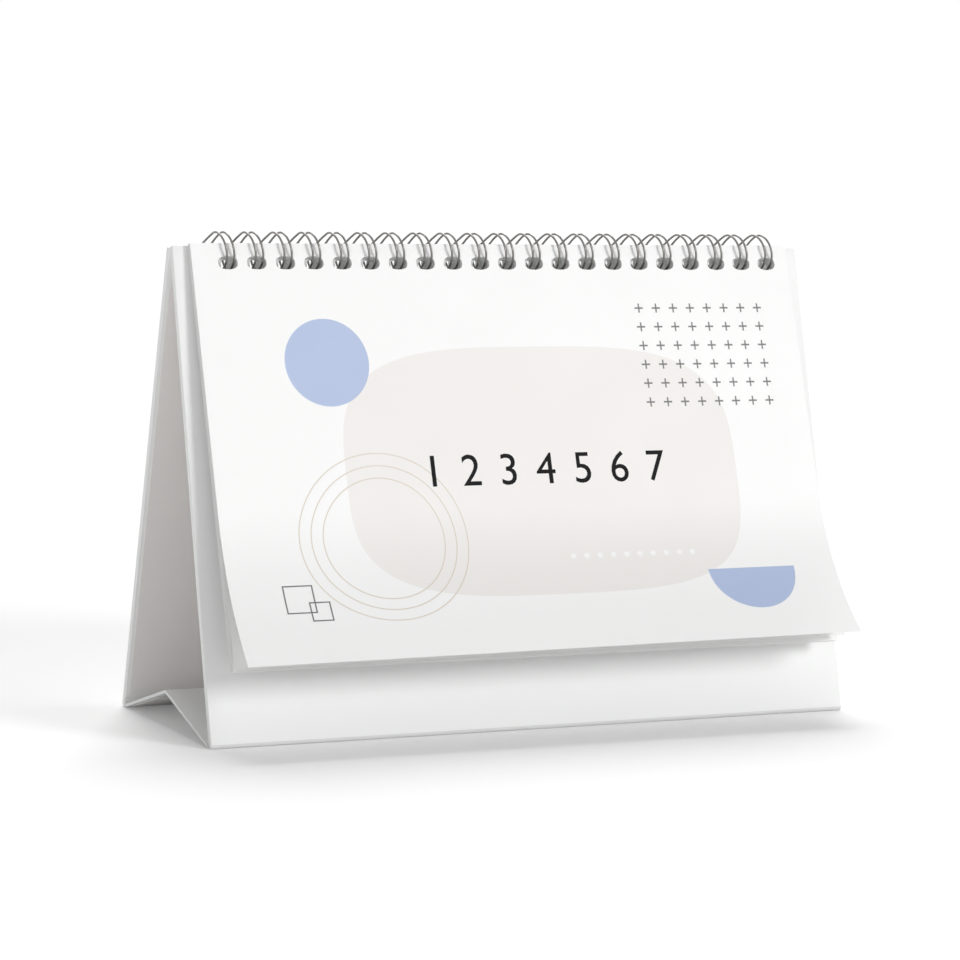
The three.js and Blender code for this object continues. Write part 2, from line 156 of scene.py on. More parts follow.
class StudioSettings(bpy.types.PropertyGroup):
    """Camera and lights"""
    azimuth: angle("Azimuth", "Camera round the calendar", -24.95)
    elevation: angle("Elevation", "Camera over the table", 5.78)
    roll: angle("Roll", "Camera about its own axis", 1.08)
    distance: length("Distance", "Camera to its target", 956.9)
    lens: bpy.props.FloatProperty(
        name="Lens", description="Focal length on a 36 mm wide sensor", default=124.67, unit="CAMERA")
    target_x: length("Target X", "Camera target", -2.86)
    target_z: length("Target height", "Camera target", 66.64)


SETTINGS = {
    "calendar_stand": StandSettings,
    "calendar_leaves": LeafSettings,
    "calendar_wire": WireSettings,
    "calendar_print": PrintSettings,
    "calendar_studio": StudioSettings,
}


def settings(*names):
    """The scene's settings of the given names."""
    return [getattr(bpy.context.scene, "calendar_" + name) for name in names]


# Node trees
class Value:
    """A number in a node tree. Python operators on values add Math nodes."""

    def __init__(self, tree, socket):
        self.tree = tree
        self.socket = socket

    def maths(self, operation, *operands):
        node = self.tree.new("ShaderNodeMath", {"operation": operation}, *operands)
        return Value(self.tree, node.outputs[0])

    def __add__(self, other):
        return self.maths("ADD", self, other)

    def __radd__(self, other):
        return self.maths("ADD", other, self)

    def __sub__(self, other):
        return self.maths("SUBTRACT", self, other)

    def __rsub__(self, other):
        return self.maths("SUBTRACT", other, self)

    def __mul__(self, other):
        return self.maths("MULTIPLY", self, other)

    def __truediv__(self, other):
        return self.maths("DIVIDE", self, other)

    def __pow__(self, other):
        return self.maths("POWER", self, other)

    def __mod__(self, other):
        return self.maths("FLOORED_MODULO", self, other)

    def __abs__(self):
        return self.maths("ABSOLUTE", self)

    def least(self, other):
        return self.maths("MINIMUM", self, other)

    def most(self, other):
        return self.maths("MAXIMUM", self, other)

    def cos(self):
        return self.maths("COSINE", self)

    def sin(self):
        return self.maths("SINE", self)


class Tree:
    """Adds nodes to a tree and feeds their sockets with numbers, colours, values or other sockets."""

    def __init__(self, tree):
        self.tree = tree

    def new(self, kind, options=None, *places, **names):
        """A node with its options set first and then its sockets, by place or by name."""
        node = self.tree.nodes.new(kind)
        for key, setting in (options or {}).items():
            setattr(node, key, setting)
        for place, given in enumerate(places):
            self.feed(node.inputs[place], given)
        for name, given in names.items():
            self.feed(node.inputs[name.replace("_", " ")], given)
        return node

    def feed(self, socket, given):
        if isinstance(given, Value):
            given = given.socket
        if given is None:
            return
        if isinstance(given, bpy.types.NodeSocket):
            self.tree.links.new(given, socket)
        elif socket.type == "RGBA" and len(given) == 3:
            socket.default_value = (*given, 1)
        else:
            socket.default_value = given

    def value(self, socket):
        return Value(self, socket)

    def split(self, socket):
        node = self.new("ShaderNodeSeparateXYZ", None, socket)
        return [self.value(out) for out in node.outputs]

    def join(self, x, y, z):
        return self.new("ShaderNodeCombineXYZ", None, x, y, z).outputs[0]

    def mix(self, factor, below, above):
        """A colour that goes from below to above as factor goes from 0 to 1."""
        node = self.new("ShaderNodeMix", {"data_type": "RGBA"})
        for place, given in ((0, factor), (6, below), (7, above)):
            self.feed(node.inputs[place], given)
        return node.outputs[2]


def geometry_tree(name, inputs):
    """A Geometry Nodes tree with a geometry input and output and named inputs of the given kinds."""
    tree = bpy.data.node_groups.new(name, "GeometryNodeTree")
    tree.interface.new_socket("Geometry", in_out="INPUT", socket_type="NodeSocketGeometry")
    for label, kind in inputs.items():
        tree.interface.new_socket(label, in_out="INPUT", socket_type="NodeSocket" + kind)
    tree.interface.new_socket("Geometry", in_out="OUTPUT", socket_type="NodeSocketGeometry")
    return Tree(tree)


def grown(source, tree, given):
    """The plain mesh that a Geometry Nodes tree makes of an object. The object is deleted."""
    modifier = source.modifiers.new("grow", "NODES")
    modifier.node_group = tree.tree
    for socket in tree.tree.interface.items_tree:
        if socket.in_out == "INPUT" and socket.name in given:
            modifier[socket.identifier] = given[socket.name]
    return applied(source)


def applied(source):
    """The plain mesh of an object with its modifiers. The object is deleted."""
    mesh = bpy.data.meshes.new_from_object(source.evaluated_get(bpy.context.evaluated_depsgraph_get()))
    bpy.data.objects.remove(source)
    return mesh


def linked(name, data):
    """An object of some data, in the scene."""
    thing = bpy.data.objects.new(name, data)
    bpy.context.scene.collection.objects.link(thing)
    return thing


def placed(name, mesh, body, replaces=()):
    """A finished piece that rides on a body and stands for the given nodes."""
    mesh.name = name
    piece = linked(name, mesh)
    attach(piece, body)
    if replaces:
        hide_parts(*replaces)
    return piece


def outward(mesh, smooth_below):
    """Turns the faces of closed shells outwards and smooths edges under an angle given in degrees."""
    work = bmesh.new()
    work.from_mesh(mesh)
    bmesh.ops.recalc_face_normals(work, faces=work.faces)
    work.to_mesh(mesh)
    work.free()
    mesh.shade_smooth()
    mesh.set_sharp_from_angle(angle=math.radians(smooth_below))
    return mesh


# Materials
GRAIN_SIZE = 0.11 * MM
CLOUDS = 70.0  # scale of the wide noise
FINE_WEAR = 0.1  # how far the fine noise changes the roughness
WIDE_WEAR = 0.08  # the same for the wide noise
WIDE_SHARE = 0.6  # the wide noise's share in the tone; the fine noise has the rest
DARKEST = 0.965  # the darkest tone, as a share of the colour


def finish(name, base, roughness, grain=0.0, metallic=0.0, coat=0.0, shine=0.5):
    """A finish whose base is a colour, or a function that makes one in the tree. Grain is a bump's height."""
    material = bpy.data.materials.new(name)
    material.use_nodes = True
    material.node_tree.nodes.clear()
    t = Tree(material.node_tree)
    where = t.new("ShaderNodeTexCoord").outputs["Object"]
    fine = t.new("ShaderNodeTexNoise", None, Vector=where, Scale=1 / GRAIN_SIZE, Detail=3.0)
    wide = t.new("ShaderNodeTexNoise", None, Vector=where, Scale=CLOUDS, Detail=2.0)
    grainy, cloudy = t.value(fine.outputs[0]), t.value(wide.outputs[0])
    rough = grainy * FINE_WEAR + cloudy * WIDE_WEAR + (roughness - (FINE_WEAR + WIDE_WEAR) / 2)
    if callable(base):
        tone = base(t)
    else:
        shade = tuple(channel * DARKEST for channel in base)
        tone = t.mix(cloudy * WIDE_SHARE + grainy * (1 - WIDE_SHARE), shade, tuple(base))
    shader = t.new(
        "ShaderNodeBsdfPrincipled", None, Base_Color=tone, Metallic=metallic, Coat_Weight=coat,
        Roughness=rough, Specular_IOR_Level=shine)
    if grain:
        bump = t.new("ShaderNodeBump", None, Strength=1.0, Distance=grain, Height=fine.outputs[0])
        t.feed(shader.inputs["Normal"], bump.outputs[0])
    t.new("ShaderNodeOutputMaterial", None, shader.outputs[0])
    return material


# Punched sheets, drawn flat from the ring's centre: x along the width, z up
MAP_SPAN = 0.2  # a sheet's own map covers this length
MAP_TOP = 0.95  # where the ring's centre lies on it
MERGED_WITHIN = 0.002 * MM
CELL_STEPS = 6  # divisions of the cell round a hole
CELL_SHARE = 0.31  # half the cell's height, in pitches
HOLE_SQUARENESS = 2.5
BOARD_ROWS = 6  # rows of faces from the cells to a board's foot
CURL_ROWS = 14  # rows of faces in the lower part of a curling leaf
FLAT_ROWS = 2  # the same in a flat leaf
CURL_INPUTS = ("Top", "Width", "Curl Start", "Curl Length", "Lift Left", "Lift Right")
UNCURLED = {"Curl Start": 1.0, "Curl Length": 1.0, "Lift Left": 0.0, "Lift Right": 0.0}


def curl_tree():
    """Bends the lower part of flat sheets along an arc towards the reader, by its own lift at each side."""
    t = geometry_tree("curl", dict.fromkeys(CURL_INPUTS, "Float"))
    given = t.new("NodeGroupInput").outputs
    top, width, start, curl, left, right = (t.value(given[name]) for name in CURL_INPUTS)
    x, y, z = t.split(t.new("GeometryNodeInputPosition").outputs[0])
    down = top - z
    beyond = (down - start).most(0)
    lift = left + (right - left) * (x / width + 0.5)
    turn = beyond * lift * 2 / (curl * curl)
    square = turn * turn
    out = beyond * turn * 0.5 * (1 - square / 12)
    along = beyond * (1 - square / 6)
    bent = t.join(x, y * turn.cos() - out, top - down.least(start) - along - y * turn.sin())
    moved = t.new("GeometryNodeSetPosition", None, Geometry=given["Geometry"], Position=bent)
    t.new("NodeGroupOutput", None, moved.outputs[0])
    return t.tree


def curled(t, curl, geometry, given):
    """Geometry passed through the curl, which is fed from the tree's own inputs."""
    node = t.new("GeometryNodeGroup", {"node_tree": curl}, Geometry=geometry)
    for name in CURL_INPUTS:
        t.feed(node.inputs[name], given[name])
    return node.outputs[0]


def sheet_tree(curl):
    """Repeats one punched column along a sheet, maps the sheet, curls it and gives it its two papers."""
    t = geometry_tree("punched sheet", {
        "Pitch": "Float", "Loops": "Int", "Row Offset": "Float", **dict.fromkeys(CURL_INPUTS, "Float"),
        "Printed": "Material", "Plain": "Material",
    })
    given = t.new("NodeGroupInput").outputs
    pitch, loops, offset = (t.value(given[k]) for k in ("Pitch", "Loops", "Row Offset"))
    repeats = t.new("GeometryNodeInputNamedAttribute", {"data_type": "BOOLEAN"}, "repeats").outputs[0]
    parts = t.new("GeometryNodeSeparateGeometry", {"domain": "FACE"}, given["Geometry"], repeats)
    line = t.new(
        "GeometryNodeMeshLine", {"mode": "OFFSET", "count_mode": "TOTAL"}, Count=loops,
        Start_Location=t.join((loops - 1) * pitch * -0.5 + offset, 0, 0), Offset=t.join(pitch, 0, 0))
    row = t.new("GeometryNodeInstanceOnPoints", None, Points=line.outputs[0], Instance=parts.outputs[0])
    real = t.new("GeometryNodeRealizeInstances", None, row.outputs[0])
    whole = t.new("GeometryNodeJoinGeometry")
    t.feed(whole.inputs[0], parts.outputs[1])
    t.feed(whole.inputs[0], real.outputs[0])
    merged = t.new("GeometryNodeMergeByDistance", None, Geometry=whole.outputs[0], Distance=MERGED_WITHIN)
    x, _, z = t.split(t.new("GeometryNodeInputPosition").outputs[0])
    mapped = t.new(
        "GeometryNodeStoreNamedAttribute", {"data_type": "FLOAT2", "domain": "CORNER"},
        Geometry=merged.outputs[0], Name="sheet", Value=t.join(x / MAP_SPAN + 0.5, z / MAP_SPAN + MAP_TOP, 0))
    sheet = curled(t, curl, mapped.outputs[0], given)
    printed = t.new("GeometryNodeInputNamedAttribute", {"data_type": "BOOLEAN"}, "printed").outputs[0]
    plain = t.new("GeometryNodeSetMaterial", None, Geometry=sheet, Material=given["Plain"])
    inked = t.new("GeometryNodeSetMaterial", None, plain.outputs[0], printed, given["Printed"])
    t.new("NodeGroupOutput", None, inked.outputs[0])
    return t


def ink_tree(curl):
    """Curls flat ink with its sheet and colours it."""
    t = geometry_tree("ink on a sheet", {**dict.fromkeys(CURL_INPUTS, "Float"), "Ink": "Material"})
    given = t.new("NodeGroupInput").outputs
    real = t.new("GeometryNodeRealizeInstances", None, curled(t, curl, given["Geometry"], given))
    inked = t.new("GeometryNodeSetMaterial", None, Geometry=real.outputs[0], Material=given["Ink"])
    t.new("NodeGroupOutput", None, inked.outputs[0])
    return t


def hole_point(direction, width, height):
    """Where a punched hole's edge lies in a direction from its middle: an oval with full corners."""
    across = abs(math.cos(direction)) / (width / 2)
    upright = abs(math.sin(direction)) / (height / 2)
    reach = (across ** HOLE_SQUARENESS + upright ** HOLE_SQUARENESS) ** (-1 / HOLE_SQUARENESS)
    return reach * math.cos(direction), reach * math.sin(direction)


def punched_column(width, top, foot, near, far, shares, wire, hole, shift=0.0):
    """One column of a sheet with a hole of the given width, shifted to the right, and the plain ends. The
    foot's height is a function of y, and the shares divide the height from the hole's cell down to it."""
    half = wire.pitch / 2
    cell_half = wire.pitch * CELL_SHARE
    steps = [2 * i / CELL_STEPS - 1 for i in range(CELL_STEPS + 1)]
    across = [half * s for s in steps]
    cell = [-wire.hole_below - cell_half * s for s in steps]
    faces = []

    def levels(y):
        return [top] + cell + [cell[-1] + (foot(y) - cell[-1]) * share for share in shares]

    def strip(xs, repeats, with_cell):
        for y, printed in ((near, True), (far, False)):
            zs = levels(y)
            for j in range(len(zs) - 1):
                if not with_cell and 1 <= j <= CELL_STEPS:
                    continue
                for a, b in zip(xs, xs[1:]):
                    corners = [(a, y, zs[j]), (a, y, zs[j + 1]), (b, y, zs[j + 1]), (b, y, zs[j])]
                    faces.append((corners, repeats, printed))
        for a, b in zip(xs, xs[1:]):
            faces.append(([(a, near, top), (b, near, top), (b, far, top), (a, far, top)], repeats, False))
            low = [(a, near, foot(near)), (b, near, foot(near)), (b, far, foot(far)), (a, far, foot(far))]
            faces.append((low, repeats, False))

    strip(across, True, False)
    edge = [(x, cell[0]) for x in across[:-1]] + [(across[-1], z) for z in cell[:-1]]
    edge += [(x, cell[-1]) for x in reversed(across[1:])] + [(across[0], z) for z in reversed(cell[1:])]
    turns = [math.atan2(z + wire.hole_below, x) for x, z in edge]
    rim = [hole_point(turn, hole, wire.hole_height) for turn in turns]
    rim = [(x + shift, z - wire.hole_below) for x, z in rim]
    for k, (outer, inner) in enumerate(zip(edge, rim)):
        next_outer, next_inner = edge[(k + 1) % len(edge)], rim[(k + 1) % len(edge)]
        for y, printed in ((near, True), (far, False)):
            corners = [(x, y, z) for x, z in (outer, next_outer, next_inner, inner)]
            faces.append((corners, True, printed))
        wall = [(x, near, z) for x, z in (inner, next_inner)] + [(x, far, z) for x, z in (next_inner, inner)]
        faces.append((wall, True, False))

    for side in (-1, 1):
        end = side * width / 2
        start = wire.row_offset + side * half * wire.loops
        strip(sorted((start, (start + end) / 2, end)), False, True)
        for a, b, c, d in zip(levels(near), levels(near)[1:], levels(far)[1:], levels(far)):
            faces.append(([(end, near, a), (end, near, b), (end, far, c), (end, far, d)], False, False))

    index = {}
    polygons = []
    for corners, _, _ in faces:
        polygons.append([index.setdefault(tuple(round(v, 8) for v in p), len(index)) for p in corners])
    mesh = bpy.data.meshes.new("column")
    mesh.from_pydata(list(index), [], polygons)
    for name, place in (("repeats", 1), ("printed", 2)):
        mark = mesh.attributes.new(name, "BOOLEAN", "FACE")
        mark.data.foreach_set("value", [face[place] for face in faces])
    return linked("column", mesh)


def hung(turn):
    """The place of what is drawn from the ring's centre. A positive turn brings its foot to the back."""
    return Matrix.Translation(RING_CENTRE) @ Matrix.Rotation(turn, 4, "X")


def rounded(mesh, width, foot_width):
    """Rounds off the outer edge at a board's foot, and then all sharp edges."""
    work = bmesh.new()
    work.from_mesh(mesh)
    work.normal_update()
    near = 0.01 * MM
    low = [e for e in work.edges if all(v.co.z < near for v in e.verts)]
    low = [e for e in low if abs(e.verts[0].co.y - e.verts[1].co.y) < near]
    outer = max(abs(e.verts[0].co.y - STAND_MIDDLE) for e in low)
    foot = [e for e in low if abs(abs(e.verts[0].co.y - STAND_MIDDLE) - outer) < near]
    bmesh.ops.bevel(work, geom=foot, offset=foot_width, segments=6, profile=0.5, affect="EDGES")
    work.to_mesh(mesh)
    work.free()
    source = linked("rounded", mesh)
    bevel = source.modifiers.new("rounded", "BEVEL")
    bevel.width = width
    bevel.segments = 3
    bevel.limit_method = "ANGLE"
    bevel.angle_limit = math.radians(40)
    return outward(applied(source), smooth_below=35)


class CALENDAR_OT_boards(bpy.types.Operator):
    """Builds the two wrapped boards with their punched row and soft edges"""
    bl_idname = "calendar.boards"
    bl_label = "Boards"

    def execute(self, context):
        stand, wire, ink = settings("stand", "wire", "print")
        wrap = finish("wrapping paper", ink.wrap, roughness=0.5, grain=0.01 * MM)
        tree = sheet_tree(curl_tree())
        shares = [(i + 1) / BOARD_ROWS for i in range(BOARD_ROWS)]
        inner = stand.thickness - stand.front_near
        back = inner + stand.top_gap
        sides = (
            ("front_board", "stand_front", -stand.lean, -stand.front_near, inner, stand.front_top),
            ("back_board", "stand_back", stand.lean, back, back + stand.thickness, stand.back_top),
        )
        for name, body, tilt, near, far, top in sides:
            def foot(y, tilt=tilt):
                return -(RING_CENTRE.z + y * math.sin(tilt)) / math.cos(tilt)

            column = punched_column(
                stand.width, top, foot, near, far, shares, wire, wire.board_hole, wire.seat)
            mesh = grown(column, tree, {
                "Pitch": wire.pitch, "Loops": wire.loops, "Row Offset": wire.row_offset, "Top": top,
                "Width": stand.width, **UNCURLED, "Printed": wrap, "Plain": wrap,
            })
            mesh.transform(hung(tilt))
            mesh = rounded(outward(mesh, smooth_below=30), stand.edge, stand.foot)
            placed(name + "_wrapped", mesh, body, (name,))
        return {"FINISHED"}


def prism(outline, width):
    """A mesh across X with the given outline in Y and Z."""
    count = len(outline)
    vertices = [(x, y, z) for x in (-width / 2, width / 2) for y, z in outline]
    faces = [list(range(count)), list(range(2 * count))[:count - 1:-1]]
    faces += [[i, i + count, (i + 1) % count + count, (i + 1) % count] for i in range(count)]
    mesh = bpy.data.meshes.new("prism")
    mesh.from_pydata(vertices, [], faces)
    return outward(mesh, smooth_below=30)


PANEL_START = 0.35 * MM  # from the fold line to a panel's edge
FOLD_REACH = 1.6 * MM  # how far a foot's folded paper lies on the board, and on the panel
FOLD_STEPS = (0.4, 0.7, 1)  # shares of that reach
FOLD_OFF = 0.02 * MM  # between the paper and what it lies on
FOLD_PAPER = 0.1 * MM


class CALENDAR_OT_base(bpy.types.Operator):
    """Builds the base's two thin panels up to their ridge, and the folds at the boards' feet"""
    bl_idname = "calendar.base"
    bl_label = "Base"

    def execute(self, context):
        stand, ink = settings("stand", "print")
        card = finish("base card", ink.wrap, roughness=0.55, grain=0.01 * MM)
        # Painted shade: the inner sides take a darker, warmer paper colour for the shade inside the stand.
        lining_with_painted_shade = finish("lining paper", ink.lining_with_painted_shade, roughness=0.75, grain=0.012 * MM)
        for word, board, body, fold, way in (
            ("front", "stand_front", "base_front", FRONT_FOLD, 1),
            ("rear", "stand_back", "base_rear", REAR_FOLD, -1),
        ):
            run, rise = abs(STAND_MIDDLE - fold.y), stand.ridge - fold.z
            slope = math.atan2(rise, run) + math.asin(stand.panel_drop / math.hypot(run, rise))
            reach = math.sqrt(run ** 2 + rise ** 2 - stand.panel_drop ** 2)
            along = Vector((0, way * math.cos(slope), math.sin(slope)))
            over = Vector((0, -way * math.sin(slope), math.cos(slope)))
            mitre = reach - stand.panel * math.tan(slope)
            upper, lower = -stand.panel_drop, -stand.panel_drop - stand.panel
            points = [fold + along * y + over * z for y, z in (
                (PANEL_START, lower), (mitre, lower), (reach, upper), (PANEL_START, upper))]
            mesh = prism([(p.y, p.z) for p in points], stand.width)
            mesh.materials.append(card)
            nodes = (f"base_{word}_panel", f"base_{word}_ridge")
            placed(f"base_{word}_card", mesh, body, nodes)

            up_board = Vector((0, way * math.sin(stand.lean), math.cos(stand.lean)))
            inside = Vector((0, way * math.cos(stand.lean), -math.sin(stand.lean)))
            on_board = [fold + up_board * FOLD_REACH * s + inside * FOLD_OFF for s in reversed(FOLD_STEPS)]
            on_panel = [fold + along * FOLD_REACH * s + over * (upper + FOLD_OFF) for s in FOLD_STEPS]
            outer = [p + inside * FOLD_PAPER for p in on_board] + [p + over * FOLD_PAPER for p in on_panel]
            mesh = prism([(p.y, p.z) for p in on_board + on_panel + outer[::-1]], stand.width)
            mesh.materials.append(card)
            mesh.name = word + "_foot_fold"
            strip = linked(word + "_foot_fold", mesh)
            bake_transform(strip)
            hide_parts(word + "_crease")
        for node in ("front_board_liner", "back_board_liner", "base_front_liner", "base_rear_liner"):
            frame["nodes"][node].data.materials.clear()
            frame["nodes"][node].data.materials.append(lining_with_painted_shade)
        return {"FINISHED"}


# Print on the cover, in millimetres on the flat leaf from the ring's centre
FIELD_X = 6  # the middle of the pale field and of its numerals
LINE_EDGE = 0.14  # softness of thin lines
FIGURE_SHARE = 0.73  # a figure's height in the built-in font, as a share of its size
INK_HALF = 0.01 * MM  # half a numeral's thickness
INK_OFF = 0.012 * MM  # from a leaf's face to a numeral's middle
INK_MERGED_WITHIN = 0.0005 * MM


class Print:
    """Lays shapes of ink over one another on a sheet's own map."""

    def __init__(self, tree, paper):
        self.tree = tree
        u, v, _ = tree.split(tree.new("ShaderNodeUVMap", {"uv_map": "sheet"}).outputs[0])
        self.x = (u - 0.5) * (MAP_SPAN / MM)
        self.y = (v - MAP_TOP) * (MAP_SPAN / MM)
        self.colour = tuple(paper)

    def lay(self, distance, ink, edge=0.1):
        """Inks where a distance is under 0. The edge is soft over a short way."""
        inside = (0.5 - distance / edge).most(0).least(1)
        self.colour = self.tree.mix(inside, self.colour, tuple(ink))

    def box(self, x, y, half_x, half_y):
        return (abs(x) - half_x).most(abs(y) - half_y)

    def disc(self, x, y, radius):
        return (x * x + y * y) ** 0.5 - radius

    def oval(self, x, y, half_x, half_y, squareness):
        share = abs(x / half_x) ** squareness + abs(y / half_y) ** squareness
        return (share ** (1 / squareness) - 1) * half_y


def cover_print(tree):
    """A pale field with discs, rings, small plus signs, dots and squares."""
    ink, = settings("print")
    p = Print(tree, ink.paper)
    x, y = p.x, p.y
    p.lay(p.oval(x - FIELD_X, y + 66, half_x=61, half_y=37, squareness=3.4), ink.field)

    ring_x, ring_y, half_line = x + 46, y + 84, 0.16
    for radius in (18, 21.5, 25):
        p.lay(abs(p.disc(ring_x, ring_y, radius)) - half_line, ink.tan, LINE_EDGE)
    p.lay(p.disc(x + 57, y + 33, radius=12.5), ink.blue)
    p.lay(p.disc(x - 66, y + 97, radius=14).most(y + 97), ink.blue)

    pitch, top = 5.6, 15
    middle_column, half_columns, half_rows = 11, 4, 3
    arm, half_stroke = 1.35, 0.24
    cell_x = x % pitch - pitch / 2
    cell_y = (y + top) % pitch - pitch / 2
    plus = p.box(cell_x, cell_y, arm, half_stroke).least(p.box(cell_x, cell_y, half_stroke, arm))
    patch_x, patch_y = x - middle_column * pitch, y + top + half_rows * pitch
    patch = p.box(patch_x, patch_y, half_columns * pitch, half_rows * pitch)
    p.lay(plus.most(patch), ink.dark, edge=0.12)

    gap, row_y = 4.2, y + 91
    dots = p.disc(x % gap - gap / 2, row_y, radius=0.85)
    p.lay(dots.most(p.box(x - 7 * gap, row_y, half_x=5 * gap, half_y=2)), ink.paper)

    half_line = 0.2
    for across, down, half in ((x + 74, y + 101, 4.2), (x + 68.5, y + 105, 2.9)):
        p.lay(abs(p.box(across, down, half, half)) - half_line, ink.dark, LINE_EDGE)
    return p.colour


def numerals(text, x, z, height, y):
    """Flat numerals with a little thickness, centred at x and z on a leaf's face at y."""
    font = bpy.data.curves.new("numerals", "FONT")
    font.body = text
    font.size = height / FIGURE_SHARE
    font.extrude = INK_HALF
    font.align_x = "CENTER"
    font.align_y = "CENTER"
    font.resolution_u = 4
    mesh = applied(linked("numerals", font))
    mesh.transform(Matrix.Translation((x, y, z)) @ Matrix.Rotation(math.radians(90), 4, "X"))
    return mesh


def joined(meshes):
    """One mesh of several."""
    whole = bmesh.new()
    for mesh in meshes:
        whole.from_mesh(mesh)
        bpy.data.meshes.remove(mesh)
    result = bpy.data.meshes.new("joined")
    bmesh.ops.remove_doubles(whole, verts=whole.verts, dist=INK_MERGED_WITHIN)
    whole.to_mesh(result)
    whole.free()
    return linked("joined", result)


def month_numbers(y):
    """The days of a month in seven columns."""
    across, top, down = 24, 38, 15
    places = [((i % 7 - 3) * across * MM, (-top - i // 7 * down) * MM) for i in range(31)]
    return [numerals(str(i + 1), x, z, height=4.6 * MM, y=y) for i, (x, z) in enumerate(places)]


def cover_numbers(y):
    """A row of large numerals across the pale field."""
    step, down = 11.6, 65
    places = [(FIELD_X + (i - 3) * step) * MM for i in range(7)]
    return [numerals(str(i + 1), x, -down * MM, height=9.4 * MM, y=y) for i, x in enumerate(places)]


class CALENDAR_OT_leaves(bpy.types.Operator):
    """Builds the month leaves, and the cover with its curl and its print"""
    bl_idname = "calendar.leaves"
    bl_label = "Leaves"

    def execute(self, context):
        stand, leaf, wire, ink = settings("stand", "leaves", "wire", "print")
        paper = finish("leaf paper", ink.paper, roughness=0.6, grain=0.008 * MM)
        cover = finish("printed cover", cover_print, roughness=0.45, grain=0.005 * MM)
        black = finish("black ink", ink.black, roughness=0.6, shine=0.1)
        curl = curl_tree()
        tree, inks = sheet_tree(curl), ink_tree(curl)
        lifts = {
            0: (leaf.cover_lift_left, leaf.cover_lift_right),
            1: (leaf.leaf_lift_left, leaf.leaf_lift_right),
        }
        below_cell = leaf.top + wire.hole_below + wire.pitch * CELL_SHARE
        for k in range(MONTH_LEAVES + 1):
            number = MONTH_LEAVES - k
            is_cover = number == 0
            far = -stand.front_near - leaf.before_board - k * (leaf.thickness + leaf.gap)
            if is_cover:
                far += leaf.gap - leaf.cover_gap
            near = far - leaf.thickness
            height = leaf.cover_height if is_cover else leaf.height
            left, right = lifts.get(number, (0.0, 0.0))
            flat_share = (leaf.curl_start - below_cell) / (height - below_cell)
            bends = CURL_ROWS if number in lifts else FLAT_ROWS
            shares = [flat_share / 2] + [flat_share + (1 - flat_share) * i / bends for i in range(bends + 1)]
            bottom = leaf.top - height
            column = punched_column(
                leaf.width, leaf.top, lambda y: bottom, near, far, shares, wire, wire.hole_width)
            curling = {
                "Top": leaf.top, "Width": leaf.width, "Curl Start": leaf.curl_start,
                "Curl Length": height - leaf.curl_start, "Lift Left": left, "Lift Right": right,
            }
            mesh = grown(column, tree, {
                "Pitch": wire.pitch, "Loops": wire.loops, "Row Offset": wire.row_offset,
                "Printed": cover if is_cover else paper, "Plain": paper, **curling,
            })
            place = hung(-(stand.lean + leaf.pad_lean + k * leaf.fan))
            mesh.transform(place)
            name = "cover_leaf" if is_cover else f"month_leaf_{number}"
            body = "cover" if is_cover else f"leaf_{number}"
            placed(name + "_sheet", outward(mesh, smooth_below=30), body, (name,))
            if number in lifts:
                face = near - INK_OFF
                flat_ink = joined(cover_numbers(face) if is_cover else month_numbers(face))
                mesh = grown(flat_ink, inks, {"Ink": black, **curling})
                mesh.transform(place)
                placed(name + "_numerals", outward(mesh, smooth_below=30), body)
        return {"FINISHED"}


# Binding wire. Ring angles are in degrees, from straight down over the front
ROOT_ANGLE = -78  # where the bridges between the loops lie
BEND_ANGLE = 9  # how far a bridge's bend reaches into a leg
BEND_REACH = 0.7 * MM  # how far it reaches along the bridge
TIP_ANGLE = 274
LEAN_SPAN = (60, 205)  # here a loop leans left, where the leaves travel
TIP_LEAN_SPAN = (200, 284)  # here it leans on, towards half a pitch
TIP_SPREAD_SPAN = (210, 280)  # here its two wires part
TIP_RISE_START = 240
LEG_STEPS = 48
TIP_STEPS = 8
WIRE_SIDES = 10


def eased(degrees, low, high):
    """Goes smoothly from 0 to 1 as the angle goes from low to high."""
    share = min(max((degrees - low) / (high - low), 0), 1)
    return share * share * (3 - 2 * share)


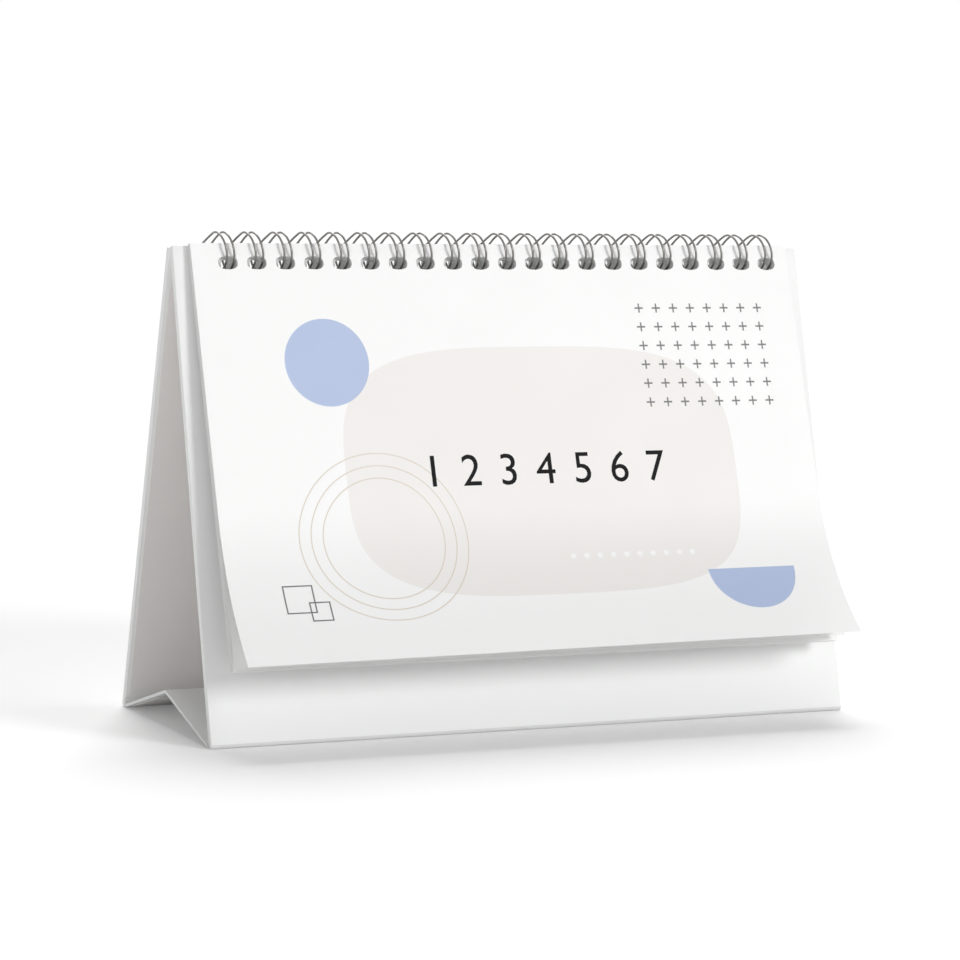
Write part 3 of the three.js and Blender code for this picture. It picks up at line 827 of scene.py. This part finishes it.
def wire_points():
    """The centre line of the whole twin-loop wire, loop by loop from the left."""
    wire, = settings("wire")
    first = ROOT_ANGLE + BEND_ANGLE

    def on_ring(degrees, radius, x):
        turn = math.radians(degrees)
        return RING_CENTRE + Vector((x, -radius * math.sin(turn), -radius * math.cos(turn)))

    def leg(hole_x, side, degrees):
        behind = eased(degrees, *TIP_LEAN_SPAN)
        drift = wire.drift * eased(degrees, *LEAN_SPAN) + (wire.pitch / 2 - wire.drift) * behind
        late = eased(degrees, *TIP_SPREAD_SPAN)
        half = (wire.leg_spacing + (wire.tip_spacing - wire.leg_spacing) * late) / 2
        radius = wire.radius + wire.tip_lift * eased(degrees, TIP_RISE_START, TIP_ANGLE)
        return on_ring(degrees, radius, hole_x + wire.seat - drift + side * half)

    def root_bend(hole_x, side):
        """From a bridge into a leg, as a quarter turn."""
        inner = leg(hole_x, side, first)
        corner = on_ring(ROOT_ANGLE, wire.radius, inner.x)
        outer = on_ring(ROOT_ANGLE, wire.radius, inner.x + side * BEND_REACH)
        return [outer * (1 - s) ** 2 + corner * 2 * s * (1 - s) + inner * s * s for s in (0, 0.25, 0.5, 0.75)]

    angles = [first + (TIP_ANGLE - first) * i / LEG_STEPS for i in range(LEG_STEPS + 1)]
    radius = wire.radius + wire.tip_lift
    points = []
    for i in range(wire.loops):
        hole_x = wire.row_offset + (i - (wire.loops - 1) / 2) * wire.pitch
        if i:
            points += root_bend(hole_x, -1)
        points += [leg(hole_x, -1, degrees) for degrees in angles]
        centre = leg(hole_x, 0, TIP_ANGLE).x
        half = (leg(hole_x, 1, TIP_ANGLE).x - leg(hole_x, -1, TIP_ANGLE).x) / 2
        for k in range(1, TIP_STEPS):
            turn = math.pi * k / TIP_STEPS
            along = math.degrees(half * math.sin(turn) / radius)
            points.append(on_ring(TIP_ANGLE + along, radius, centre - half * math.cos(turn)))
        points += [leg(hole_x, 1, degrees) for degrees in reversed(angles)]
        if i < wire.loops - 1:
            points += reversed(root_bend(hole_x, 1))
    return points


def tube_tree():
    """A round tube along a curve, closed at both ends."""
    t = geometry_tree("wire along its path", {"Radius": "Float", "Sides": "Int", "Coating": "Material"})
    given = t.new("NodeGroupInput").outputs
    ring = t.new("GeometryNodeCurvePrimitiveCircle", None, Resolution=given["Sides"], Radius=given["Radius"])
    tube = t.new(
        "GeometryNodeCurveToMesh", None,
        Curve=given["Geometry"], Profile_Curve=ring.outputs[0], Fill_Caps=True)
    real = t.new("GeometryNodeRealizeInstances", None, tube.outputs[0])
    coated = t.new("GeometryNodeSetMaterial", None, Geometry=real.outputs[0], Material=given["Coating"])
    t.new("NodeGroupOutput", None, coated.outputs[0])
    return t


class CALENDAR_OT_wire(bpy.types.Operator):
    """Builds the twin-loop wire as one tube"""
    bl_idname = "calendar.wire"
    bl_label = "Binding wire"

    def execute(self, context):
        wire, ink = settings("wire", "print")
        coating = finish("satin wire", ink.wire, roughness=0.34, metallic=0.85, coat=0.15)
        points = wire_points()
        curve = bpy.data.curves.new("wire path", "CURVE")
        curve.dimensions = "3D"
        spline = curve.splines.new("POLY")
        spline.points.add(len(points) - 1)
        for point, place in zip(spline.points, points):
            point.co = (*place, 1)
        inputs = {"Radius": wire.gauge / 2, "Sides": WIRE_SIDES, "Coating": coating}
        mesh = outward(grown(linked("wire path", curve), tube_tree(), inputs), smooth_below=60)
        placed("wire_binding_loops", mesh, "stand_front", ("wire_binding",))
        return {"FINISHED"}


# Stage
LAMPS = (  # name, direction towards it, its width across in degrees, strength
    ("key", (0.5, -0.76, 0.38), 18, 1.24),
    ("top", (0.16, 0.5, 0.85), 32, 1.85),
    ("side fill", (-0.55, -0.82, 0.08), 30, 0.5),
)
AMBIENT = 0.3  # the world's strength as a light; where it is seen it has 1
FLOOR_HALF = 6.0
FLOOR_TONE = 0.93
FLOOR_GLOW = 0.13  # brings the floor to white where it is seen
SENSOR_WIDTH = 36
CLIP_START = 0.05


class CALENDAR_OT_stage(bpy.types.Operator):
    """Builds the camera, the floor and the soft lights"""
    bl_idname = "calendar.stage"
    bl_label = "Stage"

    def execute(self, context):
        self.camera(context.scene)
        self.floor()
        self.world(context.scene)
        for name, towards, spread, strength in LAMPS:
            light = bpy.data.lights.new(name, "SUN")
            light.angle = math.radians(spread)
            light.energy = strength
            lamp = linked(name, light)
            lamp.rotation_euler = Vector(towards).to_track_quat("Z", "Y").to_euler()
        context.scene.view_settings.view_transform = "Standard"
        return {"FINISHED"}

    def camera(self, scene):
        studio, = settings("studio")
        a, e = studio.azimuth, studio.elevation
        back = Vector((math.sin(a) * math.cos(e), -math.cos(a) * math.cos(e), math.sin(e)))
        level = Vector((math.cos(a), math.sin(a), 0))
        rise = back.cross(level)
        right = level * math.cos(studio.roll) + rise * math.sin(studio.roll)
        up = rise * math.cos(studio.roll) - level * math.sin(studio.roll)
        target = Vector((studio.target_x, STAND_MIDDLE, studio.target_z))
        camera = linked("camera", bpy.data.cameras.new("camera"))
        camera.data.lens = studio.lens
        camera.data.sensor_width = SENSOR_WIDTH
        camera.data.clip_start = CLIP_START
        turn = Matrix((right, up, back)).transposed().to_4x4()
        camera.matrix_world = Matrix.Translation(target + back * studio.distance) @ turn
        scene.camera = camera

    def floor(self):
        mesh = bpy.data.meshes.new("floor")
        corners = [(x * FLOOR_HALF, y * FLOOR_HALF, 0) for x, y in ((-1, -1), (1, -1), (1, 1), (-1, 1))]
        mesh.from_pydata(corners, [], [(0, 1, 2, 3)])
        material = bpy.data.materials.new("floor")
        material.use_nodes = True
        material.node_tree.nodes.clear()
        t = Tree(material.node_tree)
        matt = t.new("ShaderNodeBsdfDiffuse", None, Color=(FLOOR_TONE, FLOOR_TONE, FLOOR_TONE))
        glow = t.new("ShaderNodeEmission", None, Color=(1, 1, 1), Strength=self.shown(t) * FLOOR_GLOW)
        both = t.new("ShaderNodeAddShader", None, matt.outputs[0], glow.outputs[0])
        t.new("ShaderNodeOutputMaterial", None, both.outputs[0])
        mesh.materials.append(material)
        linked("floor", mesh)

    def world(self, scene):
        scene.world = bpy.data.worlds.new("studio")
        scene.world.use_nodes = True
        scene.world.node_tree.nodes.clear()
        t = Tree(scene.world.node_tree)
        strength = AMBIENT + self.shown(t) * (1 - AMBIENT)
        ground = t.new("ShaderNodeBackground", None, Color=(1, 1, 1), Strength=strength)
        t.new("ShaderNodeOutputWorld", None, ground.outputs[0])

    def shown(self, t):
        """1 where a ray comes from the camera, a gloss or a clear surface."""
        rays = t.new("ShaderNodeLightPath").outputs
        kinds = ("Camera", "Glossy", "Transmission")
        seen, gloss, clear = (t.value(rays[f"Is {kind} Ray"]) for kind in kinds)
        return seen.most(gloss).most(clear)


class CALENDAR_PT_sidebar(bpy.types.Panel):
    """Lists the calendar's pieces and sizes"""
    bl_label = "Pyramid desk calendar"
    bl_idname = "CALENDAR_PT_sidebar"
    bl_space_type = "VIEW_3D"
    bl_region_type = "UI"
    bl_category = "Calendar"

    def draw(self, context):
        for operator in OPERATORS:
            self.layout.operator(operator.bl_idname)
        for name, group in SETTINGS.items():
            box = self.layout.box()
            box.label(text=group.__doc__)
            for key in group.__annotations__:
                box.prop(getattr(context.scene, name), key)


OPERATORS = (
    CALENDAR_OT_stage, CALENDAR_OT_boards, CALENDAR_OT_base, CALENDAR_OT_leaves, CALENDAR_OT_wire,
)
CLASSES = (*SETTINGS.values(), *OPERATORS, CALENDAR_PT_sidebar)


def register():
    for each in CLASSES:
        bpy.utils.register_class(each)
    for name, group in SETTINGS.items():
        setattr(bpy.types.Scene, name, bpy.props.PointerProperty(type=group))


def unregister():
    for name in SETTINGS:
        delattr(bpy.types.Scene, name)
    for each in reversed(CLASSES):
        bpy.utils.unregister_class(each)


def main():
    """Builds the calendar and its stage."""
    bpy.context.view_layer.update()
    register()
    for operator in OPERATORS:
        group, name = operator.bl_idname.split(".")
        getattr(getattr(bpy.ops, group), name)()


if __name__ == "__main__":
    main()
